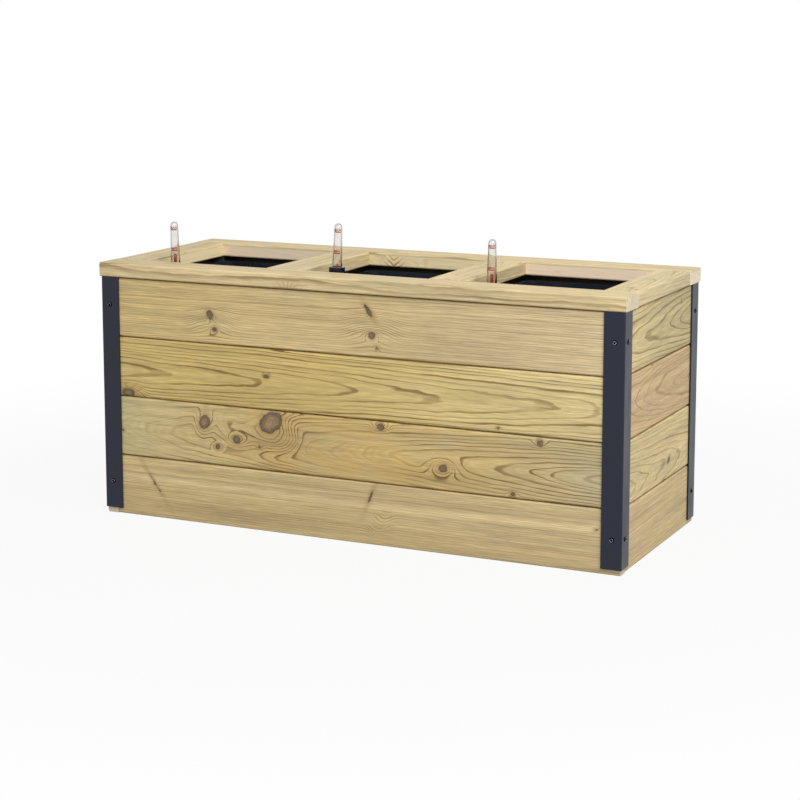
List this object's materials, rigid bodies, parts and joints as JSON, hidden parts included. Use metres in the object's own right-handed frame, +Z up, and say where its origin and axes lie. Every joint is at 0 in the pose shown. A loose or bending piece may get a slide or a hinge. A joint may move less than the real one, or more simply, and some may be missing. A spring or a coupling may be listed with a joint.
{
  "type": "self-watering wooden planter",
  "caption": "Long wooden planter box with steel corner angles, a top frame, and lift-out plastic inserts that hold a water reservoir and a level gauge with a float.",
  "frame": {"origin": "on the ground under the middle of the box", "axes": "+X along the length, +Y from the front to the back, +Z up"},
  "size_m": [1.1, 0.44, 0.5984],
  "materials": {
    "pine_timber": "planed pressure-treated pine",
    "coated_steel": "dark grey powder coat, satin",
    "black_plastic": "black moulded plastic, semi-gloss",
    "clear_plastic": "clear moulded plastic",
    "red_plastic": "red moulded plastic",
    "float_foam": "closed-cell foam"
  },
  "bodies": {
    "planter": {"front_board_1": "pine_timber", "front_board_2": "pine_timber", "front_board_3": "pine_timber", "front_board_4": "pine_timber", "right_board_1": "pine_timber", "right_board_2": "pine_timber", "right_board_3": "pine_timber", "right_board_4": "pine_timber", "back_board_1": "pine_timber", "back_board_2": "pine_timber", "back_board_3": "pine_timber", "back_board_4": "pine_timber", "left_board_1": "pine_timber", "left_board_2": "pine_timber", "left_board_3": "pine_timber", "left_board_4": "pine_timber", "corner_angle_front_right": "coated_steel", "corner_angle_back_right": "coated_steel", "corner_angle_back_left": "coated_steel", "corner_angle_front_left": "coated_steel", "inner_post_front_right": "pine_timber", "inner_post_back_right": "pine_timber", "inner_post_back_left": "pine_timber", "inner_post_front_left": "pine_timber", "floor_bearer_front": "pine_timber", "floor_bearer_back": "pine_timber", "floor_slat_left_a": "pine_timber", "floor_slat_left_b": "pine_timber", "floor_slat_middle_a": "pine_timber", "floor_slat_middle_b": "pine_timber", "floor_slat_right_a": "pine_timber", "floor_slat_right_b": "pine_timber", "rim_rail_front": "pine_timber", "rim_rail_back": "pine_timber", "rim_rail_left": "pine_timber", "rim_rail_right": "pine_timber", "rim_divider_left": "pine_timber", "rim_divider_right": "pine_timber"},
    "insert_left": {"liner_left": "black_plastic", "separator_left": "black_plastic", "wicking_basket_left": "black_plastic"},
    "gauge_left": {"gauge_shaft_left": "black_plastic", "gauge_sight_tube_left": "clear_plastic"},
    "float_left": {"gauge_float_left": "float_foam", "gauge_rod_left": "red_plastic"},
    "insert_middle": {"liner_middle": "black_plastic", "separator_middle": "black_plastic", "wicking_basket_middle": "black_plastic"},
    "gauge_middle": {"gauge_shaft_middle": "black_plastic", "gauge_sight_tube_middle": "clear_plastic"},
    "float_middle": {"gauge_float_middle": "float_foam", "gauge_rod_middle": "red_plastic"},
    "insert_right": {"liner_right": "black_plastic", "separator_right": "black_plastic", "wicking_basket_right": "black_plastic"},
    "gauge_right": {"gauge_shaft_right": "black_plastic", "gauge_sight_tube_right": "clear_plastic"},
    "float_right": {"gauge_float_right": "float_foam", "gauge_rod_right": "red_plastic"}
  },
  "joints": [
    {"name": "insert_left_lift", "type": "slide", "parent": "planter", "child": "insert_left", "axis": [0, 0, 1], "range_m": [0, 0.44]},
    {"name": "gauge_left_lift", "type": "slide", "parent": "insert_left", "child": "gauge_left", "axis": [-0.0227, 0, 0.9997], "range_m": [0, 0.44]},
    {"name": "float_left_rise", "type": "slide", "parent": "gauge_left", "child": "float_left", "axis": [-0.0227, 0, 0.9997], "range_m": [0, 0.052]},
    {"name": "insert_middle_lift", "type": "slide", "parent": "planter", "child": "insert_middle", "axis": [0, 0, 1], "range_m": [0, 0.44]},
    {"name": "gauge_middle_lift", "type": "slide", "parent": "insert_middle", "child": "gauge_middle", "axis": [0.0436, 0, 0.999], "range_m": [0, 0.44]},
    {"name": "float_middle_rise", "type": "slide", "parent": "gauge_middle", "child": "float_middle", "axis": [0.0436, 0, 0.999], "range_m": [0, 0.066]},
    {"name": "insert_right_lift", "type": "slide", "parent": "planter", "child": "insert_right", "axis": [0, 0, 1], "range_m": [0, 0.44]},
    {"name": "gauge_right_lift", "type": "slide", "parent": "insert_right", "child": "gauge_right", "axis": [0.0105, 0, 0.9999], "range_m": [0, 0.44]},
    {"name": "float_right_rise", "type": "slide", "parent": "gauge_right", "child": "float_right", "axis": [0.0105, 0, 0.9999], "range_m": [0, 0.052]}
  ]
}
